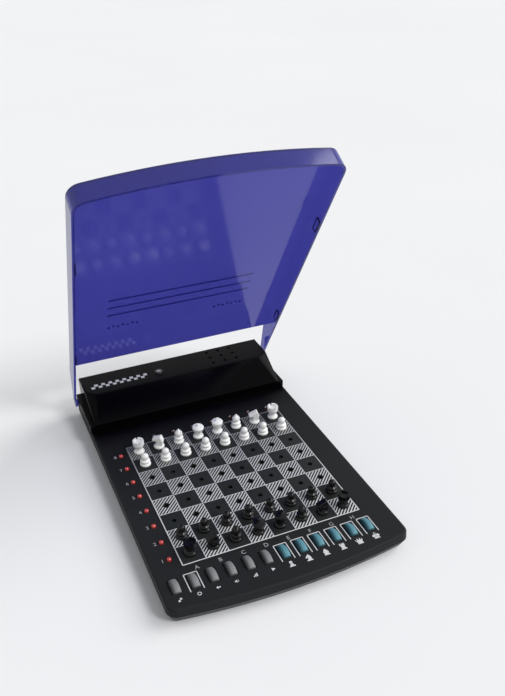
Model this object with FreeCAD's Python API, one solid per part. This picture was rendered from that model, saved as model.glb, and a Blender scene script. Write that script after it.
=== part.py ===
import FreeCAD, Part
import math
import os

os.makedirs("parts", exist_ok=True)
Vec = FreeCAD.Vector

# Electronic travel chess computer with a hinged see-through lid. Millimetres, +X right, +Y to the rear, +Z up.
# The origin is the middle of the case's footprint on the table.

# Case
case_width = 148.0
case_length = 216.0
front_bow = 6.0
corner_radius = 6.5
rear_radius = 6.5
least_radius = 0.8
wall = 2.0
foot_height = 0.8
seam_height = 7.4
panel_height = 12.6
panel_thickness = 2.0
bottom_inset = 2.6
bottom_bevel = 1.0
top_inset = 0.6
edge_round = 1.6

# Rear hump and the low wings beside it
wing_width = 4.0
hump_rise = 18.4
hump_step = 4.9
hump_run = 17.5
hump_round = 1.8
crest_corner = 10.0
wing_rise = 4.4

# Board
squares = 8
side_margin = 18.0
front_margin = 33.5
rear_gap = 25.9
board_border = 0.9
board_thickness = 1.5
board_gap = 0.15
membrane_thickness = 0.6
main_board_thickness = 1.6
main_board_gap = 0.1
main_board_margin = 3.0

# Indicator lights
led_radius = 1.5
led_gap = 0.2
rank_led_offset = 5.6
file_led_offset = 5.3

# Keys
key_count = 12
key_left_margin = 8.8
key_right_margin = 20.3
key_row_offset = 12.4
key_width = 5.6
key_length = 9.4
key_rise = 2.2
key_end_drop = 1.3
key_round = 2.2
key_gap = 0.35
key_travel = 1.0
key_flange = 0.7
key_flange_height = 1.0
flange_gap = 0.3
key_stop_gap = 0.2
mat_thickness = 0.5
dome_radius = 2.2
dome_height = 0.7
key_board_thickness = 1.2

# Power button
button_x = -14.1
button_inset = 17.0
button_radius = 3.0
button_rise = 1.0
button_travel = 0.8
switch_size = 6.0
switch_height = 3.5
switch_board_length = 22.0
switch_board_thickness = 1.2

# Lid
lid_rise = 14.2
lid_wall = 1.5
skirt_gap = 0.3
lid_rim_gap = 1.8
lid_clearance = 0.5
lid_open_angle = 60.0
pivot_inset = 4.0
pivot_rise = 0.4
ear_radius = 3.6
lid_round = 1.2
stud_radius = 2.0
stud_play = 0.05
pad_length = 9.0
pad_height = 3.6
pad_thickness = 0.6
front_pad_inset = 56.6
rear_pad_gap = 16.1

# Speaker
speaker_side = 33.6
speaker_rear_gap = 1.5
speaker_radius = 9.5
speaker_height = 4.0
magnet_radius = 6.0
magnet_height = 3.0
grille_pitch_x = 9.1
grille_pitch_y = 7.5
grille_radius = 1.2
speaker_clip = 1.2
speaker_gap = 0.3

# Batteries, size AAA, and their bay
cell_radius = 5.15
cell_length = 43.5
cell_nub_radius = 1.9
cell_nub_length = 1.0
cell_count = 3
cell_gap = 0.7
bay_x = -20.0
bay_front_gap = 2.4
bay_rear_gap = 1.2
bay_wall = 1.5
bay_height = 11.0
spring_length = 3.4
contact_thickness = 0.4
contact_size = 8.0

# Battery door
door_thickness = 1.2
door_gap = 0.2
door_lap = 1.6
tongue_width = 1.2
tongue_height = 0.5
grip_count = 5
grip_pitch = 2.4
grip_depth = 0.4

# Fasteners, feet and leads
screw_inset = 8.0
screw_radius = 1.1
screw_head_radius = 2.2
screw_head_height = 1.8
screw_length = 6.6
screw_play = 0.25
screw_end_gap = 0.6
boss_radius = 3.2
boss_gap = 0.5
foot_radius = 5.0
foot_recess = 0.6
foot_inset_x = 16.0
foot_inset_y = 21.0
post_radius = 2.5
lead_radius = 0.6
lead_spacing = 4.0

# Chess pieces
peg_radius = 1.3
peg_length = 4.0
peg_gap = 0.3
seat_gap = 0.05
merlon_gap = 1.1
merlon_depth = 1.2
knight_thickness = 4.0
knight_corner = 0.8
knight_round = 0.7
knight_turns = {"white_knight_b": -37.0, "white_knight_g": -9.0}
cross_bar = 0.9
cross_width = 2.2
cross_height = 1.8
mitre_cut = 0.5

# Places that follow from the sizes above
reach = 4 * case_length
half_case = case_width / 2
half_length = case_length / 2
half_hump = half_case - wing_width
rear_y = half_length - top_inset
hump_top = panel_height + hump_rise
hump_foot_top = panel_height + hump_step
wing_top = panel_height + wing_rise
panel_under = panel_height - panel_thickness
floor_top = foot_height + wall

cell_spacing = 2 * cell_radius + cell_gap
bay_half_x = cell_length / 2 + cell_nub_length + spring_length
bay_half_y = cell_count * cell_spacing / 2 + door_gap
bay_y = rear_y - wall - bay_rear_gap - bay_wall - bay_half_y
door_under = foot_height
door_top = door_under + door_thickness
cell_z = door_top + 2 * door_gap + cell_radius

hump_foot_y = bay_y - bay_half_y - bay_wall - bay_front_gap - wall
board_side = min(case_width - 2 * side_margin, half_length - front_margin + hump_foot_y - rear_gap)
square = board_side / squares
board_front = front_margin - half_length
board_rear = board_front + board_side
board_y = (board_front + board_rear) / 2
plate_side = board_side + 2 * board_border
plate_under = panel_height - board_thickness
main_board_top = min(plate_under - membrane_thickness, panel_under - main_board_gap)
main_board_under = main_board_top - main_board_thickness
centres = [square * (i - (squares - 1) / 2) for i in range(squares)]
rank_led_x = -board_side / 2 - rank_led_offset
file_led_y = board_rear + file_led_offset
piece_z = panel_height + seat_gap

key_y = board_front - key_row_offset
key_pitch = (case_width - key_left_margin - key_right_margin) / (key_count - 1)
first_key_x = key_left_margin - half_case
flange_top = panel_under - flange_gap
key_under = flange_top - key_flange_height
dome_top = key_under - key_travel - key_stop_gap
mat_top = dome_top - dome_height
mat_under = mat_top - mat_thickness
key_board_under = mat_under - key_board_thickness
button_y = half_length - button_inset
speaker_x = half_hump - speaker_side
speaker_y = rear_y - wall - speaker_rear_gap - speaker_radius

pivot_y = half_length - pivot_inset
pivot_z = panel_height + pivot_rise
rim_z = panel_height + lid_rim_gap
lid_top = panel_height + lid_rise
lid_edge = min(lid_round, 0.9 * lid_wall)
lid_overhang = skirt_gap + lid_wall
lid_x = half_case + lid_overhang
stud_tip = half_case - top_inset - wall
screw_seat = floor_top


def block(x0, x1, y0, y1, z0, z1):
    return Part.makeBox(x1 - x0, y1 - y0, z1 - z0, Vec(x0, y0, z0))


def upright(x, y, z0, z1, radius):
    return Part.makeCylinder(radius, z1 - z0, Vec(x, y, z0))


def cross_rod(x0, x1, y, z, radius):
    return Part.makeCylinder(radius, x1 - x0, Vec(x0, y, z), Vec(1, 0, 0))


def join(shapes):
    return shapes[0].fuse(shapes[1:]).removeSplitter()


def polygon_face(points):
    return Part.Face(Part.makePolygon(points + points[:1]))


def side_prism(points, x0, x1):
    """A solid of constant section along X, from (y, z) corners."""
    return polygon_face([Vec(x0, y, z) for y, z in points]).extrude(Vec(x1 - x0, 0, 0))


def arc(start, middle, end):
    return Part.Arc(start, middle, end).toShape()


def mirrored(p):
    return Vec(-p.x, p.y, p.z)


def case_outline(inset, z):
    """The case's outline seen from above, drawn in by inset, as a closed wire at height z."""
    bow_radius = (half_case**2 + front_bow**2) / (2 * front_bow) - inset
    bow_y = -half_length + inset + bow_radius
    half = half_case - inset
    rear = half_length - inset
    front_r = max(corner_radius - inset, least_radius)
    rear_r = max(rear_radius - inset, least_radius)
    corner_x = half - front_r
    corner_y = bow_y - math.sqrt((bow_radius - front_r) ** 2 - corner_x**2)
    stretch = bow_radius / (bow_radius - front_r)
    tangent = Vec(corner_x * stretch, bow_y + (corner_y - bow_y) * stretch, z)
    turn = math.atan2(tangent.y - corner_y, tangent.x - corner_x) / 2
    corner_mid = Vec(corner_x + front_r * math.cos(turn), corner_y + front_r * math.sin(turn), z)
    diagonal = rear_r * math.sqrt(0.5)
    rear_mid = Vec(half - rear_r + diagonal, rear - rear_r + diagonal, z)
    side_rear = Vec(half, rear - rear_r, z)
    side_front = Vec(half, corner_y, z)
    rear_end = Vec(half - rear_r, rear, z)
    apex = Vec(0, bow_y - bow_radius, z)
    edges = [
        Part.makeLine(side_rear, side_front),
        arc(side_front, corner_mid, tangent),
        arc(tangent, apex, mirrored(tangent)),
        arc(mirrored(tangent), mirrored(corner_mid), mirrored(side_front)),
        Part.makeLine(mirrored(side_front), mirrored(side_rear)),
        arc(mirrored(side_rear), mirrored(rear_mid), mirrored(rear_end)),
        Part.makeLine(mirrored(rear_end), rear_end),
        arc(rear_end, rear_mid, side_rear),
    ]
    return Part.Wire(edges)


def slab(low_inset, low_z, high_inset, high_z):
    """A solid between two case outlines."""
    return Part.makeLoft([case_outline(low_inset, low_z), case_outline(high_inset, high_z)], True, True)


def slope_y(z, inward):
    """Where the hump's sloping front is at height z, moved square to itself by inward."""
    rise = hump_top - hump_foot_top
    return hump_foot_y + ((z - hump_foot_top) * hump_run + inward * math.hypot(hump_run, rise)) / rise


def peg_holes(z0, z1):
    radius = peg_radius + peg_gap
    return [upright(x, board_y + y, z0, z1, radius) for x in centres for y in centres]


def led_places():
    ranks = [(rank_led_x, board_y + c) for c in centres]
    files = [(c, file_led_y) for c in centres]
    return ranks + files


def key_places():
    return [first_key_x + key_pitch * k for k in range(key_count)]


def screw_places():
    """Three pairs beside the board, clear of the lights."""
    x = half_case - screw_inset
    ys = (board_y - 3 * square, board_y + square, hump_foot_y - screw_inset)
    return [(side * x, y) for y in ys for side in (-1, 1)]


def foot_places():
    x = half_case - foot_inset_x
    y = half_length - foot_inset_y
    return [(0, 0), (-x, -y), (x, -y), (-x, y), (x, y)]


def board_posts():
    spread = square * (squares / 2 - 1)
    return [(0, board_y)] + [(sx * spread, board_y + sy * spread) for sx in (-1, 1) for sy in (-1, 1)]


def cell_places():
    return [bay_y + cell_spacing * (i - (cell_count - 1) / 2) for i in range(cell_count)]


def bottom_outer():
    lower = slab(bottom_inset + bottom_bevel, foot_height, bottom_inset, foot_height + bottom_bevel)
    upper = slab(bottom_inset, foot_height + bottom_bevel, 0, seam_height)
    return join([lower, upper])


def door_space(gap):
    """The battery door's plate and its side tongues, widened by gap and open to the rear."""
    half = bay_half_x + door_lap
    front = bay_y - bay_half_y - door_lap
    tongue_top = door_top + gap
    plate = block(bay_x - half - gap, bay_x + half + gap, front - gap, reach, door_under - gap, tongue_top)
    half += tongue_width
    tongue_low = door_top - tongue_height - gap
    tongues = block(bay_x - half - gap, bay_x + half + gap, front - gap, reach, tongue_low, tongue_top)
    return join([plate, tongues])


def make_bottom_case():
    shell = bottom_outer().cut(slab(bottom_inset + wall, floor_top, wall, seam_height))
    bay_outer = block(
        bay_x - bay_half_x - bay_wall,
        bay_x + bay_half_x + bay_wall,
        bay_y - bay_half_y - bay_wall,
        bay_y + bay_half_y + bay_wall,
        floor_top - wall / 2,
        floor_top + bay_height,
    )
    bay_inner = block(
        bay_x - bay_half_x,
        bay_x + bay_half_x,
        bay_y - bay_half_y,
        bay_y + bay_half_y,
        foot_height,
        floor_top + bay_height,
    )
    posts = [upright(x, y, floor_top - wall / 2, main_board_under, post_radius) for x, y in board_posts()]
    bosses = [upright(x, y, floor_top - wall / 2, seam_height, boss_radius) for x, y in screw_places()]
    ends = key_places()
    ribs = [
        block(ends[0], ends[-1], y - bay_wall / 2, y + bay_wall / 2, floor_top - wall / 2, key_board_under)
        for y in (key_y - key_length / 3, key_y + key_length / 3)
    ]
    body = join([shell, bay_outer] + posts + bosses + ribs)
    holes = []
    for x, y in screw_places():
        holes.append(upright(x, y, 0, screw_seat, screw_head_radius + screw_play))
        holes.append(upright(x, y, 0, seam_height, screw_radius + screw_play))
    recesses = [upright(x, y, 0, foot_height + foot_recess, foot_radius) for x, y in foot_places()]
    return body.cut([bay_inner, door_space(door_gap)] + holes + recesses)


def hump_outline(inset, front, radius, z):
    """The hump's outline seen from above, with rounded front corners, as a closed wire at height z."""
    half = half_hump - inset
    rear = rear_y - inset
    bend = radius * (1 - math.sqrt(0.5))
    corner_side = Vec(half, front + radius, z)
    corner_mid = Vec(half - bend, front + bend, z)
    corner_front = Vec(half - radius, front, z)
    rear_end = Vec(half, rear, z)
    edges = [
        Part.makeLine(rear_end, corner_side),
        arc(corner_side, corner_mid, corner_front),
        Part.makeLine(corner_front, mirrored(corner_front)),
        arc(mirrored(corner_front), mirrored(corner_mid), mirrored(corner_side)),
        Part.makeLine(mirrored(corner_side), mirrored(rear_end)),
        Part.makeLine(mirrored(rear_end), rear_end),
    ]
    return Part.Wire(edges)


def hump_body(inset):
    """The hump drawn in by inset: an upright foot, and a slope whose corners grow rounder towards the crest."""
    front = hump_foot_y + inset
    low = hump_foot_top - inset
    high = hump_top - inset
    foot_corner = max(hump_round - inset, least_radius)
    top_corner = max(crest_corner - inset, least_radius)
    foot = Part.Face(hump_outline(inset, front, foot_corner, seam_height)).extrude(Vec(0, 0, low - seam_height))
    lower = hump_outline(inset, front, foot_corner, low)
    upper = hump_outline(inset, slope_y(high, inset), top_corner, high)
    return join([foot, Part.makeLoft([lower, upper], True, True)])


def rounded_hump():
    body = hump_body(0)
    top_edges = [e for e in body.Edges if e.BoundBox.ZMin > hump_top - 1e-6]
    return body.makeFillet(hump_round, top_edges)


def wing_section(inset, low):
    front_top = wing_top - inset
    return [
        (hump_foot_y + inset, low),
        (hump_foot_y + inset, min(hump_foot_top, front_top) - inset),
        (max(slope_y(front_top, inset), hump_foot_y + inset), front_top),
        (rear_y - inset, front_top),
        (rear_y - inset, low),
    ]


def make_top_cover():
    panel = slab(0, seam_height, top_inset, panel_height)
    rim_edges = [e for e in panel.Edges if e.BoundBox.ZMin > panel_height - 1e-6]
    panel = panel.makeFillet(edge_round, rim_edges)
    half_wing = half_case - top_inset
    wings = side_prism(wing_section(0, seam_height), -half_wing, half_wing)
    body = join([panel, wings, rounded_hump()])

    inner_top = hump_top - wall
    room = join(
        [
            slab(wall, seam_height, top_inset + wall, panel_under),
            side_prism(wing_section(wall, seam_height), wall - half_wing, half_wing - wall),
            hump_body(wall),
        ]
    )
    body = body.cut(room)

    aside = (speaker_radius + speaker_gap + speaker_clip) * math.sqrt(0.5)
    clip_low = inner_top - speaker_height
    clips = [
        upright(speaker_x + sx * aside, speaker_y + sy * aside, clip_low, inner_top + wall / 2, speaker_clip)
        for sx in (-1, 1)
        for sy in (-1, 1)
    ]
    boss_top = panel_under + panel_thickness / 2
    bosses = [upright(x, y, seam_height, boss_top, boss_radius) for x, y in screw_places()]
    hangers = [
        block(x - wall / 2, x + wall / 2, button_y - switch_size / 2, button_y + switch_size / 2,
              switch_board_top(), inner_top + wall / 2)
        for x in switch_hanger_places()
    ]
    body = join([body] + clips + bosses + hangers)

    screw_end = screw_seat + screw_length + screw_end_gap
    cuts = [upright(x, y, 0, screw_end, screw_radius) for x, y in screw_places()]
    half_plate = plate_side / 2 + board_gap
    plate_front = board_y - half_plate
    plate_rear = board_y + half_plate
    cuts.append(block(-half_plate, half_plate, plate_front, plate_rear, panel_under - wall, hump_top))
    half_x = key_width / 2 + key_gap
    half_y = key_length / 2 + key_gap
    cuts += [block(x - half_x, x + half_x, key_y - half_y, key_y + half_y, 0, hump_top) for x in key_places()]
    cuts += [upright(x, y, 0, hump_top, led_radius + led_gap) for x, y in led_places()]
    cuts += [
        upright(speaker_x + i * grille_pitch_x, speaker_y + j * grille_pitch_y, inner_top, reach, grille_radius)
        for i in (-1, 0, 1)
        for j in (-1, 0, 1)
    ]
    cuts.append(upright(button_x, button_y, inner_top, reach, button_radius + key_gap))
    bore_end = stud_tip - lid_clearance
    for x0, x1 in ((-half_case, -bore_end), (bore_end, half_case)):
        cuts.append(cross_rod(x0, x1, pivot_y, pivot_z, stud_radius + stud_play))
    return body.cut(cuts)


def make_board_plate():
    half = plate_side / 2
    plate = block(-half, half, board_y - half, board_y + half, plate_under, panel_height)
    return plate.cut(peg_holes(plate_under, panel_height))


def make_sensor_membrane():
    half = board_side / 2
    sheet = block(-half, half, board_front, board_rear, main_board_top, plate_under)
    return sheet.cut(peg_holes(main_board_top, plate_under))


def switch_board_top():
    return hump_top - wall - flange_gap - key_flange_height - button_travel - key_stop_gap - switch_height


def switch_hanger_places():
    return [button_x - switch_board_length / 2 + wall, button_x + switch_board_length / 2 - wall]


def make_circuit_board():
    left = rank_led_x - main_board_margin
    right = board_side / 2 + main_board_margin
    main = block(left, right, board_front, file_led_y + main_board_margin, main_board_under, main_board_top)
    boss_room = [upright(x, y, 0, hump_top, boss_radius + boss_gap) for x, y in screw_places()]
    main = main.cut(peg_holes(main_board_under, main_board_top) + boss_room)
    chip_side = square - 2 * (peg_radius + peg_gap) - 1
    chip_x = square * 2
    chip_y = board_y - square
    chip = block(chip_x - chip_side / 2, chip_x + chip_side / 2, chip_y - chip_side / 2, chip_y + chip_side / 2,
                 main_board_under - mat_thickness * 3, main_board_under)
    ends = key_places()
    margin = key_pitch / 2
    key_board = block(ends[0] - margin / 2, ends[-1] + margin / 2, key_y - key_length / 2 - 1,
                      key_y + key_length / 2 + 1, key_board_under, mat_under)
    top = switch_board_top()
    half = switch_board_length / 2
    side = switch_size / 2
    front = button_y - side
    rear = button_y + side
    small_board = block(button_x - half, button_x + half, front, rear, top - switch_board_thickness, top)
    switch = block(button_x - side, button_x + side, front, rear, top, top + switch_height)
    return Part.makeCompound([main, chip, key_board, small_board, switch])


def make_keypad_mat():
    ends = key_places()
    margin = key_pitch / 4
    sheet = block(ends[0] - margin, ends[-1] + margin, key_y - key_length / 2, key_y + key_length / 2,
                  mat_under, mat_top)
    domes = [upright(x, key_y, mat_top - mat_thickness / 2, dome_top, dome_radius) for x in ends]
    return join([sheet] + domes)


def make_key(x):
    """One key: a rounded cap with a crowned top, over a flange that the panel keeps in."""
    top = panel_height + key_rise
    crown = (key_length**2 / 4 + key_end_drop**2) / (2 * key_end_drop)
    side = key_width / 2
    cap = block(x - side, x + side, key_y - key_length / 2, key_y + key_length / 2, key_under, top)
    cap = cap.common(cross_rod(x - key_width, x + key_width, key_y, top - crown, crown))
    ridge = [e for e in cap.Edges if e.BoundBox.ZMax > top - 1e-3 and e.BoundBox.XLength < 1e-6]
    cap = cap.makeFillet(key_round, ridge)
    half_x = key_width / 2 + key_flange
    half_y = key_length / 2 + key_flange
    flange = block(x - half_x, x + half_x, key_y - half_y, key_y + half_y, key_under, flange_top)
    inside = wall + top_inset + key_gap
    return join([cap, flange.common(slab(inside, key_under, inside, flange_top))])


def make_power_button():
    under = hump_top - wall - flange_gap
    cap = upright(button_x, button_y, under - key_flange_height, hump_top + button_rise, button_radius)
    rim = [e for e in cap.Edges if e.BoundBox.ZMin > hump_top]
    cap = cap.makeFillet(button_rise * 0.8, rim)
    flange = upright(button_x, button_y, under - key_flange_height, under, button_radius + 2 * key_flange)
    return join([cap, flange])


def make_leds():
    foot = Vec(0, 0, main_board_top)
    corner = Vec(led_radius, 0, main_board_top)
    shoulder = Vec(led_radius, 0, panel_height)
    bend = math.sqrt(0.5) * led_radius
    tip = Vec(0, 0, panel_height + led_radius)
    dome = arc(shoulder, Vec(bend, 0, panel_height + bend), tip)
    sides = [Part.makeLine(foot, corner), Part.makeLine(corner, shoulder), dome, Part.makeLine(tip, foot)]
    lamp = Part.Face(Part.Wire(sides)).revolve(Vec(0, 0, 0), Vec(0, 0, 1), 360)
    return Part.makeCompound([lamp.translated(Vec(x, y, 0)) for x, y in led_places()])


def make_speaker():
    top = hump_top - wall
    basket = upright(speaker_x, speaker_y, top - speaker_height, top, speaker_radius)
    magnet_top = top - speaker_height
    magnet = upright(speaker_x, speaker_y, magnet_top - magnet_height, magnet_top, magnet_radius)
    return join([basket, magnet])


def cell_facing(index):
    return 1 if index % 2 == 0 else -1


def make_batteries():
    cells = []
    for index, y in enumerate(cell_places()):
        facing = cell_facing(index)
        shift = facing * (spring_length - contact_thickness) / 2
        middle = bay_x + shift
        body = cross_rod(middle - cell_length / 2, middle + cell_length / 2, y, cell_z, cell_radius)
        end = middle + facing * cell_length / 2
        nub = cross_rod(min(end, end + facing * cell_nub_length), max(end, end + facing * cell_nub_length), y,
                        cell_z, cell_nub_radius)
        cells.append(join([body, nub]))
    return Part.makeCompound(cells)


def make_battery_contacts():
    metal = []
    half = contact_size / 2
    for index, y in enumerate(cell_places()):
        facing = cell_facing(index)
        for side in (-1, 1):
            face = bay_x + side * bay_half_x
            inner = face - side * contact_thickness
            plate = block(min(face, inner), max(face, inner), y - half, y + half, cell_z - half, cell_z + half)
            metal.append(plate)
            if side != facing:
                tip = bay_x + facing * (spring_length - contact_thickness) / 2 + side * cell_length / 2
                wide = cell_radius * 0.7
                narrow = cell_radius * 0.4
                spring = Part.makeCone(wide, narrow, abs(inner - tip), Vec(inner, y, cell_z), Vec(-side, 0, 0))
                metal[-1] = join([plate, spring])
    return Part.makeCompound(metal)


def make_battery_door():
    half = bay_half_x + door_lap + tongue_width
    front = bay_y - bay_half_y - door_lap
    grips = [
        block(bay_x - half / 3, bay_x + half / 3, front + grip_pitch * (i + 2), front + grip_pitch * (i + 2.5),
              0, door_under + grip_depth)
        for i in range(grip_count)
    ]
    return door_space(0).common(bottom_outer()).cut(grips)


def make_screws():
    screws = []
    for x, y in screw_places():
        shank = upright(x, y, screw_seat, screw_seat + screw_length, screw_radius)
        head = upright(x, y, screw_seat - screw_head_height, screw_seat, screw_head_radius)
        slot = block(x - screw_head_radius, x + screw_head_radius, y - screw_play, y + screw_play, 0,
                     screw_seat - screw_head_height * 0.6)
        screws.append(join([shank, head]).cut(slot))
    return Part.makeCompound(screws)


def make_feet():
    pads = []
    for x, y in foot_places():
        pad = upright(x, y, 0, foot_height + foot_recess, foot_radius)
        rim = [e for e in pad.Edges if e.BoundBox.ZMax < 1e-6]
        pads.append(pad.makeChamfer(foot_height / 3, rim))
    return Part.makeCompound(pads)


def lead(x, points):
    """A thin insulated wire of straight runs with rounded elbows, in the plane at x."""
    pieces = []
    for (y0, z0), (y1, z1) in zip(points, points[1:]):
        along = Vec(0, y1 - y0, z1 - z0)
        pieces.append(Part.makeCylinder(lead_radius, along.Length, Vec(x, y0, z0), along))
    pieces += [Part.makeSphere(lead_radius, Vec(x, y, z)) for y, z in points[1:-1]]
    return join(pieces)


def make_wiring():
    low = floor_top + 2 * lead_radius
    board_end = file_led_y + main_board_margin / 3
    magnet_under = hump_top - wall - speaker_height - magnet_height
    bay_front = bay_y - bay_half_y - bay_wall
    leads = []
    for side in (-0.5, 0.5):
        up_to_board = (board_end, main_board_under)
        from_speaker = [(speaker_y, magnet_under), (speaker_y, low), (board_end, low), up_to_board]
        leads.append(lead(speaker_x + side * lead_spacing, from_speaker))
        from_bay = [(bay_front, cell_z), (board_end, cell_z), up_to_board]
        leads.append(lead(bay_x + side * lead_spacing, from_bay))
    return Part.makeCompound(leads)


def lid_ear(side):
    """One of the lid's two ears, tapering to its hinge stud, upright as on the closed lid."""
    inner = lid_x - lid_wall
    start_y = slope_y(lid_top, -lid_clearance)
    far = math.hypot(pivot_y - start_y, lid_top - pivot_z)
    turn = math.atan2(lid_top - pivot_z, start_y - pivot_y) - math.acos(ear_radius / far)
    profile = [
        (slope_y(rim_z, -lid_clearance), rim_z),
        (pivot_y, rim_z),
        (pivot_y, pivot_z),
        (pivot_y + ear_radius * math.cos(turn), pivot_z + ear_radius * math.sin(turn)),
        (start_y, lid_top),
    ]
    tongue = side_prism(profile, inner, lid_x)
    disc = cross_rod(inner, lid_x, pivot_y, pivot_z, ear_radius)
    stud = cross_rod(stud_tip, inner, pivot_y, pivot_z, stud_radius)
    ear = join([tongue, disc, stud])
    return ear if side > 0 else ear.mirror(Vec(0, 0, 0), Vec(1, 0, 0))


def make_lid():
    tray = slab(-lid_overhang, rim_z, -lid_overhang, lid_top)
    tray = tray.makeFillet(lid_edge, [e for e in tray.Edges if e.BoundBox.ZMin > lid_top - 1e-6])
    tray = tray.cut(slab(-skirt_gap, rim_z, -skirt_gap, lid_top - lid_wall))
    hump_gap = [
        (slope_y(0, -lid_clearance), 0),
        (slope_y(2 * hump_top, -lid_clearance), 2 * hump_top),
        (reach, 2 * hump_top),
        (reach, 0),
    ]
    tray = tray.cut(side_prism(hump_gap, -reach, reach))
    inner_x = lid_x - lid_wall
    pad_low = rim_z + pad_thickness
    pads = [
        block(min(s * inner_x, s * (inner_x - pad_thickness)), max(s * inner_x, s * (inner_x - pad_thickness)),
              y - pad_length / 2, y + pad_length / 2, pad_low, pad_low + pad_height)
        for s in (-1, 1)
        for y in (front_pad_inset - half_length, hump_foot_y - rear_pad_gap)
    ]
    closed = join([tray, lid_ear(-1), lid_ear(1)] + pads)
    closed.rotate(Vec(0, pivot_y, pivot_z), Vec(-1, 0, 0), lid_open_angle)
    return closed


# Chess pieces: turned outlines. Two numbers are a radius and height to run straight to. Four are an arc's middle
# and its end. Three are a ball about the axis: its centre's height, its radius and the height at which it ends.
foot_outline = [(0, 0), (3.4, 0), (3.65, 0.7, 3.4, 1.4), (2.7, 1.9)]
pawn_outline = foot_outline + [
    (3.1, 2.8),
    (3.3, 3.25, 3.1, 3.7),
    (2.2, 4.5),
    (6.4, 2.4, 8.8),
]
rook_outline = foot_outline + [
    (2.1, 3.0),
    (2.1, 3.8),
    (3.3, 5.2, 3.7, 7.2),
    (3.7, 9.3),
    (2.5, 9.3),
    (2.5, 8.2),
    (0, 8.2),
]
bishop_outline = foot_outline + [
    (2.3, 3.0),
    (3.0, 3.4),
    (3.15, 3.75, 3.0, 4.1),
    (1.9, 4.6),
    (6.8, 2.6, 9.1),
    (0.5, 9.6),
    (9.9, 0.6, 10.5),
]
queen_outline = foot_outline + [
    (2.3, 2.9),
    (2.3, 3.7),
    (3.2, 5.2, 4.0, 7.8),
    (3.4, 8.5),
    (0.8, 9.1),
    (9.7, 0.9, 10.6),
]
king_outline = foot_outline + [
    (2.4, 2.9),
    (2.4, 3.9),
    (3.2, 5.6, 3.9, 8.4),
    (3.4, 9.0),
    (0, 9.7),
]
knight_outline = foot_outline + [(2.9, 2.0), (0, 2.0)]
knight_side = [
    (2.5, 1.8),
    (3.2, 5.6),
    (1.7, 9.5),
    (0.4, 8.8),
    (-4.3, 6.8),
    (-4.1, 4.9),
    (-1.1, 5.3),
    (-1.5, 3.5),
    (-2.3, 1.8),
]


def turned(outline):
    """A solid turned about the upright axis from its outline, on a peg."""
    edges = []
    here = Vec(outline[0][0], 0, outline[0][1])
    for step in outline[1:]:
        if len(step) == 3:
            centre, radius, height = step
            start = Vec(here.x, 0, centre - math.sqrt(radius**2 - here.x**2))
            end = Vec(math.sqrt(max(radius**2 - (height - centre) ** 2, 0)), 0, height)
            edges += [Part.makeLine(here, start), arc(start, Vec(radius, 0, centre), end)]
        elif len(step) == 4:
            end = Vec(step[2], 0, step[3])
            edges.append(arc(here, Vec(step[0], 0, step[1]), end))
        else:
            end = Vec(step[0], 0, step[1])
            edges.append(Part.makeLine(here, end))
        here = end
    edges.append(Part.makeLine(here, Vec(outline[0][0], 0, outline[0][1])))
    body = Part.Face(Part.Wire(edges)).revolve(Vec(0, 0, 0), Vec(0, 0, 1), 360)
    tip = Part.makeCone(peg_radius * 0.6, peg_radius, peg_radius * 0.4, Vec(0, 0, -peg_length))
    peg = upright(0, 0, peg_radius * 0.4 - peg_length, 0, peg_radius)
    return join([body, peg, tip])


def top_of(outline):
    return max(step[-1] for step in outline)


def make_rook():
    crown = top_of(rook_outline)
    far = square / 2
    slots = [
        block(-far, far, -merlon_gap / 2, merlon_gap / 2, crown - merlon_depth, crown),
        block(-merlon_gap / 2, merlon_gap / 2, -far, far, crown - merlon_depth, crown),
    ]
    return turned(rook_outline).cut(slots)


def make_knight():
    outline = [Vec(x, -knight_thickness / 2, z) for x, z in knight_side]
    head = polygon_face(outline).extrude(Vec(0, knight_thickness, 0))
    low = knight_side[0][1] + 1e-6
    corners = [e for e in head.Edges if e.BoundBox.YLength > knight_round and e.BoundBox.ZMin > low]
    head = head.makeFillet(knight_corner, corners)
    rims = [e for e in head.Edges if e.BoundBox.YLength < knight_round and e.BoundBox.ZMax > low]
    head = head.makeFillet(knight_round, rims)
    return join([turned(knight_outline), head])


def make_bishop():
    height = top_of(bishop_outline)
    cut = block(-mitre_cut / 2, mitre_cut / 2, -square / 2, square / 2, 0, height / 4)
    cut.rotate(Vec(0, 0, 0), Vec(0, 1, 0), 35)
    cut.translate(Vec(0.6, 0, height * 0.75))
    return turned(bishop_outline).cut(cut)


def make_king():
    top = top_of(king_outline)
    half = cross_bar / 2
    stem = block(-half, half, -half, half, top - half, top + cross_height)
    middle = top + cross_height * 0.6
    bar = block(-cross_width / 2, cross_width / 2, -half, half, middle - half, middle + half)
    return join([turned(king_outline), stem, bar])


def make_pieces():
    """Both sides' pieces, by name, each standing on its square."""
    shapes = {
        "pawn": turned(pawn_outline),
        "rook": make_rook(),
        "knight": make_knight(),
        "bishop": make_bishop(),
        "queen": turned(queen_outline),
        "king": make_king(),
    }
    back_rank = ["rook", "knight", "bishop", "queen", "king", "bishop", "knight", "rook"]
    placed = {}
    for colour, back, front in (("white", squares - 1, squares - 2), ("black", 0, 1)):
        for kinds, row in ((back_rank, back), (["pawn"] * len(back_rank), front)):
            for column, kind in enumerate(kinds):
                single = kind in ("queen", "king")
                name = f"{colour}_{kind}" if single else f"{colour}_{kind}_{'abcdefgh'[column]}"
                piece = shapes[kind].copy()
                piece.rotate(Vec(0, 0, 0), Vec(0, 0, 1), knight_turns.get(name, 0.0))
                piece.translate(Vec(centres[column], board_y + centres[row], piece_z))
                placed[name] = piece
    return placed


key_names = [
    "key_setup",
    "key_new_game",
    "key_take_back",
    "key_sound",
    "key_level",
    "key_play",
    "key_pawn",
    "key_knight",
    "key_bishop",
    "key_rook",
    "key_queen",
    "key_king",
]

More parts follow.
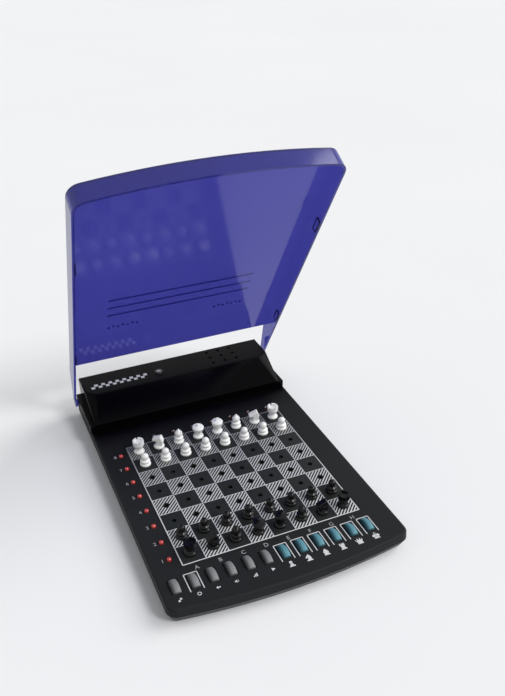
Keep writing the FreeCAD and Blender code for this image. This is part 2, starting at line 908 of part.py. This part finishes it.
nodes = {
    "bottom_case": make_bottom_case(),
    "top_cover": make_top_cover(),
    "board_plate": make_board_plate(),
    "sensor_membrane": make_sensor_membrane(),
    "circuit_board": make_circuit_board(),
    "keypad_mat": make_keypad_mat(),
    "indicator_leds": make_leds(),
    "speaker": make_speaker(),
    "batteries": make_batteries(),
    "battery_contacts": make_battery_contacts(),
    "battery_door": make_battery_door(),
    "case_screws": make_screws(),
    "feet": make_feet(),
    "wiring": make_wiring(),
    "power_button": make_power_button(),
    "lid": make_lid(),
}
nodes.update({name: make_key(x) for name, x in zip(key_names, key_places())})
nodes.update(make_pieces())

for name, shape in nodes.items():
    shape.exportStep(f"parts/{name}.step")
    state = "valid" if shape.isValid() else "INVALID"
    print(name, len(shape.Solids), "solids", round(shape.Volume, 1), "mm3", state)
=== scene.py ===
import math
from collections import namedtuple

import bmesh
import bpy
from mathutils import Matrix, Vector


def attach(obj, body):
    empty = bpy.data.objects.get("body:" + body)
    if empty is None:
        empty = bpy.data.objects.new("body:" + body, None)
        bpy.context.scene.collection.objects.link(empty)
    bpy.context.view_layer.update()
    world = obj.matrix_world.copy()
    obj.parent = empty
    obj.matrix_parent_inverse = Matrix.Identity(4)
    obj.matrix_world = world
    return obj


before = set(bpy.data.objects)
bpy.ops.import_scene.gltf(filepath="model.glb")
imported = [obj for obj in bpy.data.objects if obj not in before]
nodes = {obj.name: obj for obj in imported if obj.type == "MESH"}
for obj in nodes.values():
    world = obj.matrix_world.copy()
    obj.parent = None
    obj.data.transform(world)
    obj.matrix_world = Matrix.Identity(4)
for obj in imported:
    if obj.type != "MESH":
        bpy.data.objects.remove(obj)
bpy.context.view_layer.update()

MM = 0.001

# Sizes shared with the solids, in millimetres and degrees
PANEL_Z = 12.6  # top of the panel and of the board
HUMP_Z = 31.0  # top of the rear hump
RANKS = 8
SQUARE = 14.0
BOARD_Y = -18.5  # middle of the board
KEYS = 12
GREY_KEYS = 6
FIRST_KEY_X = -65.2
KEY_PITCH = 10.809
KEY_X = [FIRST_KEY_X + KEY_PITCH * k for k in range(KEYS)]
KEY_Y = -86.9
BUTTON = (-14.1, 91.0, 32.0)  # middle of the push button's top
PIVOT = Vector((0.0, 104.0, 13.0))  # the lid's hinge
LID_ANGLE = 60.0  # how far the lid is open at rest
LID_TOP = 26.8  # outer face of the shut lid
PAD_FACE = 73.7  # inner face of the pads in the lid's side skirts
PAD_Z = (15.0, 18.6)
PAD_Y = ((-55.9, -46.9), (42.8, 51.8))


# Materials

DEEP_BLACK = (0.001, 0.001, 0.0015)
FINE = 0.00005  # depth of a fine grain, in metres
FLOW = 0.0002  # depth of flow marks, in metres
NOISE_LOW, NOISE_HIGH = 0.3, 0.7  # between these a noise goes from one colour to the other
# Painted shade covers a key's left flank up to the first share; its face colour starts at the
# second.
SHADED_FLANK_END, FACE_START = 0.18, 0.5  # shares of a key's width
COLOUR_CLOUD, GLOSS_CLOUD = 45.0, 160.0  # noise scales of moulded plastic
GLOSS_SPREAD = 0.06
MIX_FACTOR, MIX_FROM, MIX_TO, MIX_RESULT = 0, 6, 7, 2  # a Mix node's sockets for colours

# Spans along the object in metres (the first three carry painted shade towards the rear), and
# shares of the cover's height at which its finish changes
PANEL_SHADE_SPAN = (-0.03, 0.058)
BOARD_SHADE_SPAN = (-0.0745, 0.0375)
LED_SHADE_SPAN = (0.036, 0.042)
COVER_HEIGHT = (0.0, 0.032)
STEP_LOW, STEP_HIGH = 0.50, 0.55
SLOPE_END, STRIP_START = 0.955, 0.960

Draft = namedtuple("Draft", "mat tree shader place")


def set_sockets(made, values):
    """Sets plain values on sockets by name, with _ for a space."""
    for name, value in values.items():
        made.inputs[name.replace("_", " ")].default_value = value


def node(tree, kind, **values):
    """A new node with its properties and sockets set by name."""
    made = tree.nodes.new(kind)
    for name in [name for name in values if hasattr(made, name)]:
        setattr(made, name, values.pop(name))
    set_sockets(made, values)
    return made


def new_material(name):
    """A material in the making, with its shader and the object's own coordinates."""
    mat = bpy.data.materials.new(name)
    mat.use_nodes = True
    tree = mat.node_tree
    place = tree.nodes.new("ShaderNodeTexCoord").outputs["Object"]
    return Draft(mat, tree, tree.nodes["Principled BSDF"], place)


def ramp(tree, factor, stops):
    """Colours that follow a factor; each stop is a place and a colour."""
    made = tree.nodes.new("ShaderNodeValToRGB")
    elements = made.color_ramp.elements
    for element, (place, colour) in zip(elements, (stops[0], stops[-1])):
        element.position = place
        element.color = (*colour, 1.0)
    for place, colour in stops[1:-1]:
        elements.new(place).color = (*colour, 1.0)
    tree.links.new(factor, made.inputs["Fac"])
    return made.outputs["Color"]


def cloud(draft, scale, detail):
    """A noise over the surface."""
    noise = node(draft.tree, "ShaderNodeTexNoise", Scale=scale, Detail=detail)
    draft.tree.links.new(draft.place, noise.inputs["Vector"])
    return noise.outputs["Fac"]


def vary(draft, scale, low, high):
    """A soft, slow change between two colours over the surface."""
    return ramp(draft.tree, cloud(draft, scale, 4.0), [(NOISE_LOW, low), (NOISE_HIGH, high)])


def flank_shade(draft, flank, face):
    """Painted shade: a change from a dark colour on a piece's left flank to its own colour on its
    face.
    """
    split = draft.tree.nodes.new("ShaderNodeSeparateXYZ")
    whole = draft.tree.nodes["Texture Coordinate"].outputs["Generated"]
    draft.tree.links.new(whole, split.inputs["Vector"])
    return ramp(draft.tree, split.outputs["X"], [(SHADED_FLANK_END, flank), (FACE_START, face)])


def along(draft, axis, span, stops):
    """Colours that change along one axis; the stops are shares of the span."""
    split = draft.tree.nodes.new("ShaderNodeSeparateXYZ")
    share = node(draft.tree, "ShaderNodeMapRange", From_Min=span[0], From_Max=span[1])
    draft.tree.links.new(draft.place, split.inputs["Vector"])
    draft.tree.links.new(split.outputs[axis], share.inputs["Value"])
    return ramp(draft.tree, share.outputs["Result"], stops)


def dress(draft, colour, grain_size, grain_strength, grain_depth=FINE, **sockets):
    """Gives a material its colour, its plain values and its grain."""
    links, shader = draft.tree.links, draft.shader
    links.new(colour, shader.inputs["Base Color"])
    set_sockets(shader, sockets)
    bump = node(draft.tree, "ShaderNodeBump", Strength=grain_strength, Distance=grain_depth)
    links.new(cloud(draft, grain_size, 3.0), bump.inputs["Height"])
    links.new(bump.outputs["Normal"], shader.inputs["Normal"])
    return draft.mat


def moulded(name, low, high, roughness, grain_size=1200.0, grain_strength=0.08, shaded_flank=False,
            **sockets):
    """Moulded plastic: two colours, an uneven gloss and a fine grain. For keys the two colours are
    painted shade on the left flank and the face's own colour.
    """
    draft = new_material(name)
    colour = flank_shade(draft, low, high) if shaded_flank else vary(draft, COLOUR_CLOUD, low, high)
    gloss = node(draft.tree, "ShaderNodeMapRange", To_Min=roughness - GLOSS_SPREAD,
                 To_Max=roughness + GLOSS_SPREAD)
    draft.tree.links.new(cloud(draft, GLOSS_CLOUD, 5.0), gloss.inputs["Value"])
    draft.tree.links.new(gloss.outputs["Result"], draft.shader.inputs["Roughness"])
    return dress(draft, colour, grain_size, grain_strength, **sockets)


def metal(name, low, high, roughness):
    draft = new_material(name)
    return dress(draft, vary(draft, 200.0, low, high), grain_size=2500.0, grain_strength=0.1,
                 Metallic=1.0, Roughness=roughness)


def grey(level):
    return (level,) * 3


def cover_material():
    """Black plastic: a satin panel with painted shade that darkens it to the rear, a polished
    slope, a satin strip.
    """
    draft = new_material("cover")
    # Painted shade: the panel darkens to deep black towards the hump.
    panel = along(draft, "Y", PANEL_SHADE_SPAN, [
        (0.0, (0.020, 0.021, 0.022)), (0.78, (0.013, 0.0135, 0.0145)), (1.0, DEEP_BLACK),
    ])
    hump = along(draft, "Z", COVER_HEIGHT, [
        (SLOPE_END, DEEP_BLACK), (STRIP_START, (0.004, 0.004, 0.0045)),
    ])
    raised = along(draft, "Z", COVER_HEIGHT, [(STEP_LOW, grey(0.0)), (STEP_HIGH, grey(1.0))])
    gloss = along(draft, "Z", COVER_HEIGHT, [
        (0.0, grey(0.40)), (STEP_LOW, grey(0.34)), (STEP_HIGH, grey(0.14)),
        (SLOPE_END, grey(0.14)), (STRIP_START, grey(0.45)),
    ])
    tint = node(draft.tree, "ShaderNodeMix", data_type="RGBA")
    for colour, socket in ((raised, MIX_FACTOR), (panel, MIX_FROM), (hump, MIX_TO)):
        draft.tree.links.new(colour, tint.inputs[socket])
    draft.tree.links.new(gloss, draft.shader.inputs["Roughness"])
    return dress(draft, tint.outputs[MIX_RESULT], grain_size=1500.0, grain_strength=0.05,
                 Specular_IOR_Level=0.05)


def board_ink_material():
    """White print with painted shade that makes it fainter towards the far ranks."""
    draft = new_material("board_ink")
    # Painted shade: the print darkens towards the far ranks.
    tint = along(draft, "Y", BOARD_SHADE_SPAN, [
        (0.0, (0.66, 0.67, 0.68)), (0.5, (0.56, 0.57, 0.58)), (1.0, (0.24, 0.245, 0.25)),
    ])
    return dress(draft, tint, grain_size=1200.0, grain_strength=0.08, Roughness=0.5)


def board_material():
    draft = new_material("board")
    tint = vary(draft, 60.0, (0.019, 0.021, 0.021), (0.023, 0.025, 0.025))
    return dress(draft, tint, grain_size=2000.0, grain_strength=0.05, Roughness=0.42,
                 Specular_IOR_Level=0.1)


def lid_material():
    """Clear blue-violet plastic, polished, with faint flow marks."""
    draft = new_material("lid_tint")
    tint = vary(draft, 14.0, (0.066, 0.066, 0.42), (0.076, 0.076, 0.46))
    return dress(draft, tint, grain_size=35.0, grain_strength=0.02, grain_depth=FLOW,
                 Roughness=0.085, IOR=1.45, Transmission_Weight=0.8, Specular_IOR_Level=0.3)


def led_material():
    """Tinted lamp lenses: salmon red beside the ranks, and painted shade that makes them nearly
    black behind the files.
    """
    draft = new_material("led_lens")
    # Painted shade: the lenses behind the files turn nearly black.
    tint = along(draft, "Y", LED_SHADE_SPAN, [
        (0.0, (0.50, 0.030, 0.026)), (1.0, (0.012, 0.001, 0.0015)),
    ])
    return dress(draft, tint, grain_size=900.0, grain_strength=0.02, Roughness=0.18,
                 Specular_IOR_Level=0.9)


def floor_material():
    draft = new_material("floor")
    tint = vary(draft, 2.0, (0.87, 0.872, 0.88), (0.89, 0.892, 0.90))
    draft.tree.links.new(tint, draft.shader.inputs["Base Color"])
    set_sockets(draft.shader, {"Roughness": 0.8, "Specular_IOR_Level": 0.1})
    return draft.mat


case_black = moulded("case", (0.040, 0.040, 0.043), (0.050, 0.050, 0.053), 0.5,
                     grain_strength=0.2, Specular_IOR_Level=0.2)
white_ink = moulded("white_ink", (0.60, 0.61, 0.62), (0.68, 0.69, 0.70), 0.5)
soft_ink = moulded("soft_ink", (0.34, 0.345, 0.35), (0.40, 0.405, 0.41), 0.5)
# The keys' first colours are painted shade on their left flanks; the second are the faces' own
# colours.
grey_key = moulded("key_grey", (0.025, 0.025, 0.027), (0.21, 0.213, 0.218), 0.4,
                   shaded_flank=True, Specular_IOR_Level=0.25)
teal_key = moulded("key_teal", (0.010, 0.045, 0.062), (0.095, 0.26, 0.32), 0.34,
                   shaded_flank=True, Specular_IOR_Level=0.25)
ivory = moulded("piece_ivory", (0.82, 0.82, 0.805), (0.88, 0.88, 0.865), 0.42)
jet = moulded("piece_jet", (0.004, 0.004, 0.005), (0.007, 0.007, 0.008), 0.14,
              Specular_IOR_Level=0.22)
button_black = moulded("button", (0.012, 0.012, 0.014), (0.02, 0.02, 0.022), 0.25)
rubber = moulded("rubber", grey(0.012), grey(0.02), 0.75, grain_size=700.0, grain_strength=0.4)
# Painted shade: the sensor film is nearly black, so the peg holes over it read dark.
film = moulded("film", grey(0.004), grey(0.006), 0.6, Specular_IOR_Level=0.05)
laminate = moulded("laminate", (0.02, 0.12, 0.05), (0.03, 0.16, 0.07), 0.45)
jacket = moulded("cell_jacket", (0.05, 0.05, 0.06), (0.08, 0.08, 0.09), 0.3)
insulation = moulded("insulation", (0.3, 0.02, 0.02), (0.4, 0.03, 0.03), 0.45)
steel = metal("steel", grey(0.5), (0.62, 0.62, 0.61), 0.3)
dark_steel = metal("dark_steel", grey(0.12), grey(0.18), 0.4)

by_node = {
    "bottom_case": case_black, "battery_door": case_black, "top_cover": cover_material(),
    "board_plate": board_material(), "sensor_membrane": film, "circuit_board": laminate,
    "keypad_mat": rubber, "indicator_leds": led_material(), "speaker": dark_steel,
    "batteries": jacket, "battery_contacts": steel, "case_screws": steel, "feet": rubber,
    "wiring": insulation, "power_button": button_black, "lid": lid_material(),
}
for man in ("pawn", "knight", "bishop", "rook", "queen", "king"):
    by_node[f"key_{man}"] = teal_key
by_prefix = {"key": grey_key, "white": ivory, "black": jet}
for name, obj in nodes.items():
    obj.data.materials.clear()
    obj.data.materials.append(by_node.get(name) or by_prefix[name.split("_")[0]])


# Thin printed marks, in millimetres

INK = 0.03  # how far a print reaches into its face and out of it
HATCH_LINES = 12
HATCH_WIDTH = 0.7
HATCH_HOLE = 2.2  # radius that is left open round a peg hole
HATCH_SHORTEST = 0.5
SQUARE_EDGE, BOARD_EDGE = 0.4, 0.6
BRACKETED = [1, *range(GREY_KEYS, KEYS)]
BRACKET_HALF, BRACKET_REAR, BRACKET_FRONT = 3.85, 5.8, 6.8  # from the key's middle
BRACKET_WIDTH = 0.55
DIGIT_X, DIGIT_SIZE, DIGIT_MIDDLE = -65.4, 2.6, 3.5
LETTER_Y, LETTER_SIZE, LETTER_MIDDLE = -78.7, 2.8, 3.52
FONT_SCALE = 1.4  # font size for a letter of height 1
GREY_ICON_SIZE, GREY_ICON_FOOT = 2.9, 10.9
TEAL_ICON_SIZE, TEAL_ICON_FOOT = 4.8, 12.0
CHEQUER_SIDE, CHEQUER_COLUMNS, CHEQUER_ROWS = 2.6, 16, 2
CHEQUER_X, CHEQUER_Y = -64.6, 88.0
RING_RADIUS, RING_START, RING_END = 1.1, -230, 50
RING_WIDTH, RING_STEM = 0.4, 1.5
LID_MARK_SUNK, LID_MARK_PROUD = 0.1, 0.25
LID_LINE_X, LID_LINE_Y, LID_LINE_WIDTH = (-50.6, 48.4), (1.6, 9.9, 18.2), 1.4
LID_DOT_X, LID_DOT_Y, LID_DOT_RADIUS = (-49.1, 25.8), 33.0, 0.95
LID_DOTS, LID_DOT_PITCH, LID_DOT_STAGGER = 7, 3.27, 1.3
PAD_EDGE_PROUD, PAD_EDGE_SUNK, PAD_EDGE_WIDTH = 0.1, 0.65, 0.7


def inked(z):
    """The two heights of a print on a face."""
    return z - INK, z + INK


def rectangle(x0, x1, y0, y1):
    return [(x0, y0), (x1, y0), (x1, y1), (x0, y1)]


def circle_point(cx, cy, radius, turn):
    return cx + radius * math.cos(turn), cy + radius * math.sin(turn)


def disc(cx, cy, radius, count=28):
    return [circle_point(cx, cy, radius, 2 * math.pi * i / count) for i in range(count)]


def arc_band(cx, cy, radius, width, start, end, count=20):
    """An arc as a band of the given width, between two angles in degrees."""
    turns = [math.radians(start + (end - start) * i / count) for i in range(count + 1)]
    outer = [circle_point(cx, cy, radius + width / 2, turn) for turn in turns]
    inner = [circle_point(cx, cy, radius - width / 2, turn) for turn in turns]
    return [[outer[i], outer[i + 1], inner[i + 1], inner[i]] for i in range(count)]


def prism(bm, points, low, high):
    """A flat mark: a polygon of (x, y) corners between two heights."""
    under = [bm.verts.new((x * MM, y * MM, low * MM)) for x, y in points]
    over = [bm.verts.new((x * MM, y * MM, high * MM)) for x, y in points]
    bm.faces.new(over)
    bm.faces.new(list(reversed(under)))
    for i in range(len(points)):
        j = (i + 1) % len(points)
        bm.faces.new((under[i], under[j], over[j], over[i]))


def bar(bm, start, end, width, low, high):
    """A straight line of the given width."""
    dx, dy = end[0] - start[0], end[1] - start[1]
    length = math.hypot(dx, dy)
    nx, ny = -dy / length * width / 2, dx / length * width / 2
    corners = [(start[0] - nx, start[1] - ny), (end[0] - nx, end[1] - ny),
               (end[0] + nx, end[1] + ny), (start[0] + nx, start[1] + ny)]
    prism(bm, corners, low, high)


def outline(bm, corners, width, low, high):
    """Lines round a closed polygon."""
    for start, end in zip(corners, corners[1:] + corners[:1]):
        bar(bm, start, end, width, low, high)


def piece(name, bm, body, mat):
    bmesh.ops.recalc_face_normals(bm, faces=bm.faces)
    mesh = bpy.data.meshes.new(name)
    bm.to_mesh(mesh)
    bm.free()
    obj = bpy.data.objects.new(name, mesh)
    bpy.context.scene.collection.objects.link(obj)
    mesh.materials.append(mat)
    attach(obj, body)


def square_corner(column, row):
    return SQUARE * (column - RANKS // 2), BOARD_Y + SQUARE * (row - RANKS // 2)


def hatch_square(bm, x0, y0, low, high):
    """Diagonal lines across one square, left open round its peg hole."""
    cx, cy = x0 + SQUARE / 2, y0 + SQUARE / 2
    for k in range(HATCH_LINES):
        offset = SQUARE * (2 * (k + 0.5) / HATCH_LINES - 1)
        start = (x0 + max(offset, 0), y0 + max(-offset, 0))
        end = (x0 + SQUARE + min(offset, 0), y0 + SQUARE - max(offset, 0))
        away = abs((start[0] - cx) - (start[1] - cy)) / math.sqrt(2)
        if away < HATCH_HOLE:
            half = math.sqrt(HATCH_HOLE**2 - away**2)
            foot = ((start[0] + end[0]) / 2, (start[1] + end[1]) / 2)
            step = half / math.sqrt(2)
            bar(bm, start, (foot[0] - step, foot[1] - step), HATCH_WIDTH, low, high)
            bar(bm, (foot[0] + step, foot[1] + step), end, HATCH_WIDTH, low, high)
        elif math.dist(start, end) > HATCH_SHORTEST:
            bar(bm, start, end, HATCH_WIDTH, low, high)


def make_board_print():
    """Hatching and an edge on each light square, and an edge round the board."""
    bm = bmesh.new()
    low, high = inked(PANEL_Z)
    for column in range(RANKS):
        for row in range(RANKS):
            if (column + row) % 2 == 1:
                x, y = square_corner(column, row)
                hatch_square(bm, x, y, low, high)
                edge = rectangle(x, x + SQUARE, y, y + SQUARE)
                outline(bm, edge, SQUARE_EDGE, low - INK / 3, high + INK / 3)
    (x0, y0), (x1, y1) = square_corner(0, 0), square_corner(RANKS, RANKS)
    outline(bm, rectangle(x0, x1, y0, y1), BOARD_EDGE, low - INK / 2, high + INK / 2)
    piece("board_print", bm, "base", board_ink_material())


def make_brackets():
    """Frames that are open to the front, round the second key and the teal keys."""
    bm = bmesh.new()
    low, high = inked(PANEL_Z)
    for k in BRACKETED:
        left, right = KEY_X[k] - BRACKET_HALF, KEY_X[k] + BRACKET_HALF
        rear, front = KEY_Y + BRACKET_REAR, KEY_Y - BRACKET_FRONT
        bar(bm, (left, rear), (right, rear), BRACKET_WIDTH, low, high)
        bar(bm, (left, rear), (left, front), BRACKET_WIDTH, low, high)
        bar(bm, (right, rear), (right, front), BRACKET_WIDTH, low, high)
    piece("key_brackets", bm, "base", white_ink)


def add_letter(bm, text, x, y, size):
    """One digit or letter, flat on the panel."""
    curve = bpy.data.curves.new("mark", "FONT")
    curve.body = text
    curve.size = size * FONT_SCALE * MM
    curve.extrude = INK * MM
    curve.align_x = "CENTER"
    curve.align_y = "CENTER"
    holder = bpy.data.objects.new("mark", curve)
    bpy.context.scene.collection.objects.link(holder)
    bpy.context.view_layer.update()
    mesh = bpy.data.meshes.new_from_object(holder)
    mesh.transform(Matrix.Translation((x * MM, y * MM, PANEL_Z * MM)))
    bm.from_mesh(mesh)
    bpy.data.objects.remove(holder)
    bpy.data.curves.remove(curve)
    bpy.data.meshes.remove(mesh)


def make_lettering():
    """The board's own coordinates: digits beside the ranks, letters before the files."""
    bm = bmesh.new()
    for i in range(RANKS):
        add_letter(bm, str(i + 1), DIGIT_X, BOARD_Y + SQUARE * (i - DIGIT_MIDDLE), DIGIT_SIZE)
    for i, letter in enumerate("ABCDEFGH"):
        add_letter(bm, letter, SQUARE * (i - LETTER_MIDDLE), LETTER_Y, LETTER_SIZE)
    piece("board_coordinates", bm, "base", soft_ink)


# Outlines of the pictograms at the keys from left to right, for a height of 1
ICON_FOOT = [rectangle(-0.36, 0.36, 0.0, 0.15)]
ICONS = {
    "squares": [rectangle(-0.4, 0.0, 0.1, 0.5), rectangle(0.0, 0.4, 0.5, 0.9)],
    "ring": arc_band(0, 0.5, 0.34, 0.14, 0, 360),
    "back": [[(-0.45, 0.5), (-0.05, 0.85), (-0.05, 0.15)], rectangle(-0.05, 0.45, 0.4, 0.6)],
    "sound": [
        [(-0.45, 0.36), (-0.25, 0.36), (0.0, 0.12), (0.0, 0.88), (-0.25, 0.64), (-0.45, 0.64)],
        *arc_band(0.0, 0.5, 0.3, 0.1, -50, 50, 10),
    ],
    "bars": [
        rectangle(-0.42, -0.2, 0.1, 0.4), rectangle(-0.11, 0.11, 0.1, 0.65),
        rectangle(0.2, 0.42, 0.1, 0.9),
    ],
    "play": [[(-0.3, 0.1), (0.42, 0.5), (-0.3, 0.9)]],
    "pawn": [
        *ICON_FOOT, [(-0.25, 0.15), (0.25, 0.15), (0.13, 0.52), (-0.13, 0.52)],
        disc(0, 0.66, 0.2),
    ],
    "knight": [
        *ICON_FOOT,
        [(-0.24, 0.15), (0.27, 0.15), (0.3, 0.5), (0.2, 0.8), (0.05, 1.0), (-0.02, 0.88),
         (-0.2, 0.78), (-0.38, 0.56), (-0.34, 0.44), (-0.06, 0.5), (-0.14, 0.34)],
    ],
    "bishop": [
        *ICON_FOOT,
        [(-0.24, 0.15), (0.24, 0.15), (0.34, 0.45), (0.2, 0.76), (0, 1.0), (-0.2, 0.76),
         (-0.34, 0.45)],
    ],
    "rook": [
        *ICON_FOOT, rectangle(-0.25, 0.25, 0.15, 0.62), rectangle(-0.34, 0.34, 0.62, 0.78),
        *(rectangle(x - 0.08, x + 0.08, 0.78, 0.95) for x in (-0.24, 0.0, 0.24)),
    ],
    "queen": [
        *ICON_FOOT,
        [(-0.3, 0.15), (0.3, 0.15), (0.5, 0.8), (0.25, 0.52), (0.18, 0.95), (0, 0.55),
         (-0.18, 0.95), (-0.25, 0.52), (-0.5, 0.8)],
    ],
    "king": [
        *ICON_FOOT, [(-0.28, 0.15), (0.28, 0.15), (0.2, 0.3), (-0.2, 0.3)],
        disc(-0.24, 0.46, 0.22), disc(0.24, 0.46, 0.22),
        rectangle(-0.05, 0.05, 0.5, 1.0), rectangle(-0.16, 0.16, 0.76, 0.86),
    ],
}


def make_icons():
    """A pictogram before each key."""
    bm = bmesh.new()
    low, high = inked(PANEL_Z)
    for k, shapes in enumerate(ICONS.values()):
        teal = k >= GREY_KEYS
        size = TEAL_ICON_SIZE if teal else GREY_ICON_SIZE
        foot = KEY_Y - (TEAL_ICON_FOOT if teal else GREY_ICON_FOOT)
        for shape in shapes:
            points = [(KEY_X[k] + x * size, foot + y * size) for x, y in shape]
            prism(bm, points, low, high)
    piece("key_icons", bm, "base", white_ink)


def make_hump_strip():
    """A plain chequered strip on the hump's top."""
    bm = bmesh.new()
    for column in range(CHEQUER_COLUMNS):
        for row in range(CHEQUER_ROWS):
            if (column + row) % 2 == 0:
                x, y = CHEQUER_X + CHEQUER_SIDE * column, CHEQUER_Y + CHEQUER_SIDE * row
                cell = rectangle(x, x + CHEQUER_SIDE, y, y + CHEQUER_SIDE)
                prism(bm, cell, *inked(HUMP_Z))
    piece("hump_chequer", bm, "base", white_ink)


def make_button_mark():
    """An open ring with a stem on the push button."""
    bm = bmesh.new()
    x, y, z = BUTTON
    for part in arc_band(x, y, RING_RADIUS, RING_WIDTH, RING_START, RING_END):
        prism(bm, part, *inked(z))
    bar(bm, (x, y), (x, y + RING_STEM), RING_WIDTH, *inked(z))
    piece("button_mark", bm, "power_button", white_ink)


def swing_open(bm, turn):
    """Moves what is drawn for the shut lid to the open lid, after a turn of its own."""
    swing = Matrix.Rotation(math.radians(-LID_ANGLE), 4, "X")
    opened = Matrix.Translation(PIVOT * MM) @ swing @ Matrix.Translation(-PIVOT * MM)
    bmesh.ops.transform(bm, matrix=opened @ turn, verts=bm.verts)


def make_lid_marks():
    """Three raised lines and two rows of dots on the lid's outer face."""
    bm = bmesh.new()
    low, high = LID_TOP - LID_MARK_SUNK, LID_TOP + LID_MARK_PROUD
    left, right = LID_LINE_X
    for y in LID_LINE_Y:
        bar(bm, (left, y), (right, y), LID_LINE_WIDTH, low, high)
    for x in LID_DOT_X:
        for i in range(LID_DOTS):
            y = LID_DOT_Y - LID_DOT_STAGGER * (i % 2)
            prism(bm, disc(x + LID_DOT_PITCH * i, y, LID_DOT_RADIUS, count=16), low, high)
    swing_open(bm, Matrix.Identity(4))
    mark = moulded("lid_mark", (0.36, 0.34, 0.66), (0.42, 0.40, 0.74), 0.4,
                   Specular_IOR_Level=0.2)
    piece("lid_marks", bm, "lid", mark)


def make_pad_edges():
    """A dark edge round each pad in the lid, drawn flat as (y, z) and then stood up."""
    bm = bmesh.new()
    for side in (-1, 1):
        low, high = sorted((side * (PAD_FACE - PAD_EDGE_PROUD), side * (PAD_FACE + PAD_EDGE_SUNK)))
        for front, rear in PAD_Y:
            outline(bm, rectangle(front, rear, *PAD_Z), PAD_EDGE_WIDTH, low, high)
    swing_open(bm, Matrix(((0, 0, 1, 0), (1, 0, 0, 0), (0, 1, 0, 0), (0, 0, 0, 1))))
    edge = moulded("pad_edge", (0.008, 0.007, 0.05), (0.012, 0.010, 0.07), 0.3,
                   Specular_IOR_Level=0.2)
    piece("lid_pad_edges", bm, "lid", edge)


make_board_print()
make_brackets()
make_lettering()
make_icons()
make_hump_strip()
make_button_mark()
make_lid_marks()
make_pad_edges()


# Floor, light and camera

FLOOR_HALF = 12.0  # in metres
SKY = (0.98, 0.99, 1.0, 1.0)
DIM_SKY, PALE_SKY = 0.42, 0.85


def make_floor():
    bm = bmesh.new()
    bmesh.ops.create_grid(bm, x_segments=2, y_segments=2, size=FLOOR_HALF)
    mesh = bpy.data.meshes.new("floor")
    bm.to_mesh(mesh)
    bm.free()
    floor = bpy.data.objects.new("floor", mesh)
    bpy.context.scene.collection.objects.link(floor)
    mesh.materials.append(floor_material())


def make_sun(name, towards, strength, spread):
    """A soft far light that shines from the given direction, spread over an angle in degrees."""
    data = bpy.data.lights.new(name, "SUN")
    data.energy = strength
    data.angle = math.radians(spread)
    lamp = bpy.data.objects.new(name, data)
    bpy.context.scene.collection.objects.link(lamp)
    lamp.rotation_euler = Vector(towards).to_track_quat("Z", "Y").to_euler()


def make_world():
    """A dim surround for shading that is near white to the eye, in gloss and through the lid."""
    world = bpy.data.worlds.new("studio")
    bpy.context.scene.world = world
    world.use_nodes = True
    tree = world.node_tree
    dim = tree.nodes["Background"]
    set_sockets(dim, {"Color": SKY, "Strength": DIM_SKY})
    pale = node(tree, "ShaderNodeBackground", Color=SKY, Strength=PALE_SKY)
    path = tree.nodes.new("ShaderNodeLightPath")
    seen = path.outputs["Is Camera Ray"]
    for ray in ("Is Glossy Ray", "Is Transmission Ray"):
        either = node(tree, "ShaderNodeMath", operation="MAXIMUM")
        tree.links.new(seen, either.inputs[0])
        tree.links.new(path.outputs[ray], either.inputs[1])
        seen = either.outputs["Value"]
    mix = tree.nodes.new("ShaderNodeMixShader")
    tree.links.new(seen, mix.inputs["Fac"])
    tree.links.new(dim.outputs["Background"], mix.inputs[1])
    tree.links.new(pale.outputs["Background"], mix.inputs[2])
    tree.links.new(mix.outputs["Shader"], tree.nodes["World Output"].inputs["Surface"])


def make_camera():
    """The photograph's view, fitted to the corners of the board's squares."""
    data = bpy.data.cameras.new("camera")
    data.sensor_width = 36.0
    data.lens = 36.711
    data.shift_x = 0.0454
    data.shift_y = 0.0921
    data.clip_start = 0.01
    camera = bpy.data.objects.new("camera", data)
    bpy.context.scene.collection.objects.link(camera)
    right = Vector((0.92529, -0.37889, -0.01669))
    up = Vector((0.23500, 0.53825, 0.80936))
    back = Vector((-0.29767, -0.75281, 0.58708))
    place = Vector((-0.13315, -0.33145, 0.31034))
    turn = Matrix((right, up, back)).transposed().to_4x4()
    camera.matrix_world = Matrix.Translation(place) @ turn
    bpy.context.scene.camera = camera


make_floor()
make_sun("key", towards=(1.0, -0.12, 0.8), strength=1.7, spread=45.0)
make_sun("fill", towards=(0.5, -0.75, 0.85), strength=1.2, spread=16.0)
make_world()
make_camera()
bpy.context.scene.view_settings.view_transform = "Standard"
